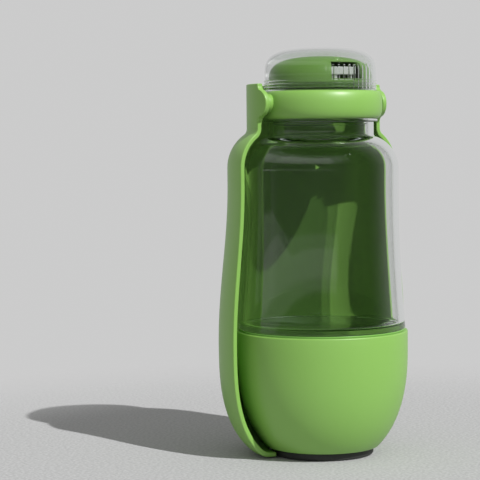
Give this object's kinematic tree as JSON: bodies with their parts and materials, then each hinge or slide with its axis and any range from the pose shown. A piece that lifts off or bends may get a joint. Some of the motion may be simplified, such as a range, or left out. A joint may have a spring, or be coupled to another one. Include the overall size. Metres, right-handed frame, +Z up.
{
  "type": "dog travel water bottle",
  "caption": "Clear water bottle with a green food bowl screwed under it, a pouring spout under a clear dust lid, and a half-shell drinking trough that flips up from a hinge collar.",
  "frame": {"origin": "middle of the rubber foot's flat underside, on the bottle's axis", "axes": "+Z up along the bottle's axis; -Y is the front, where the pouring window is; the trough closes over +Y; +X runs along the trough's hinge"},
  "size_m": [0.1114, 0.1019, 0.2182],
  "materials": {
    "clear_plastic": "clear, glossy, thick-walled moulded plastic",
    "green_plastic": "satin moulded plastic, leaf green",
    "white_plastic": "satin white moulded plastic",
    "clear_silicone": "translucent silicone",
    "green_silicone": "green silicone",
    "foot_rubber": "matt dark rubber",
    "pin_steel": "ground steel",
    "washer_nylon": "black nylon",
    "bush_acetal": "natural acetal"
  },
  "bodies": {
    "bottle": {"bottle_shell": "clear_plastic", "base_seal": "green_silicone", "hinge_collar": "green_plastic", "pivot_pin_left": "pin_steel", "pivot_pin_right": "pin_steel", "ear_washer_left": "washer_nylon", "ear_washer_right": "washer_nylon"},
    "trough": {"trough_shell": "green_plastic", "ear_bush_left": "bush_acetal", "ear_bush_right": "bush_acetal"},
    "bowl": {"food_bowl": "green_plastic", "foot_pad": "foot_rubber"},
    "gasket": {"spout_gasket": "clear_silicone"},
    "spout": {"spout_dome": "green_plastic", "outlet_insert": "white_plastic", "slit_valve": "clear_silicone", "valve_ring": "white_plastic", "vent_valve": "clear_silicone"},
    "lid": {"dust_lid": "clear_plastic", "lid_seal": "clear_silicone"}
  },
  "joints": [
    {"name": "trough_flip", "type": "hinge", "parent": "bottle", "child": "trough", "pos_m": [0, 0, 0.1885], "axis": [1, 0, 0], "range_deg": [0, 180]},
    {"name": "bowl_turn", "type": "hinge", "parent": "bottle", "child": "bowl", "pos_m": [0, 0, 0.05], "axis": [0, 0, 1], "range_deg": [0, 45]},
    {"name": "spout_rise", "type": "slide", "parent": "bottle", "child": "gasket", "axis": [0, 0, 1], "range_m": [0, 0.006]},
    {"name": "spout_turn", "type": "hinge", "parent": "gasket", "child": "spout", "pos_m": [0, 0, 0.2], "axis": [0, 0, 1], "range_deg": [0, 360]},
    {"name": "lid_pull", "type": "slide", "parent": "spout", "child": "lid", "axis": [0, 0, 1], "range_m": [0, 0.028]}
  ],
  "couplings": [
    {"joint": "spout_rise", "follows": "spout_turn", "m_per_rad": 0.00095492}
  ]
}
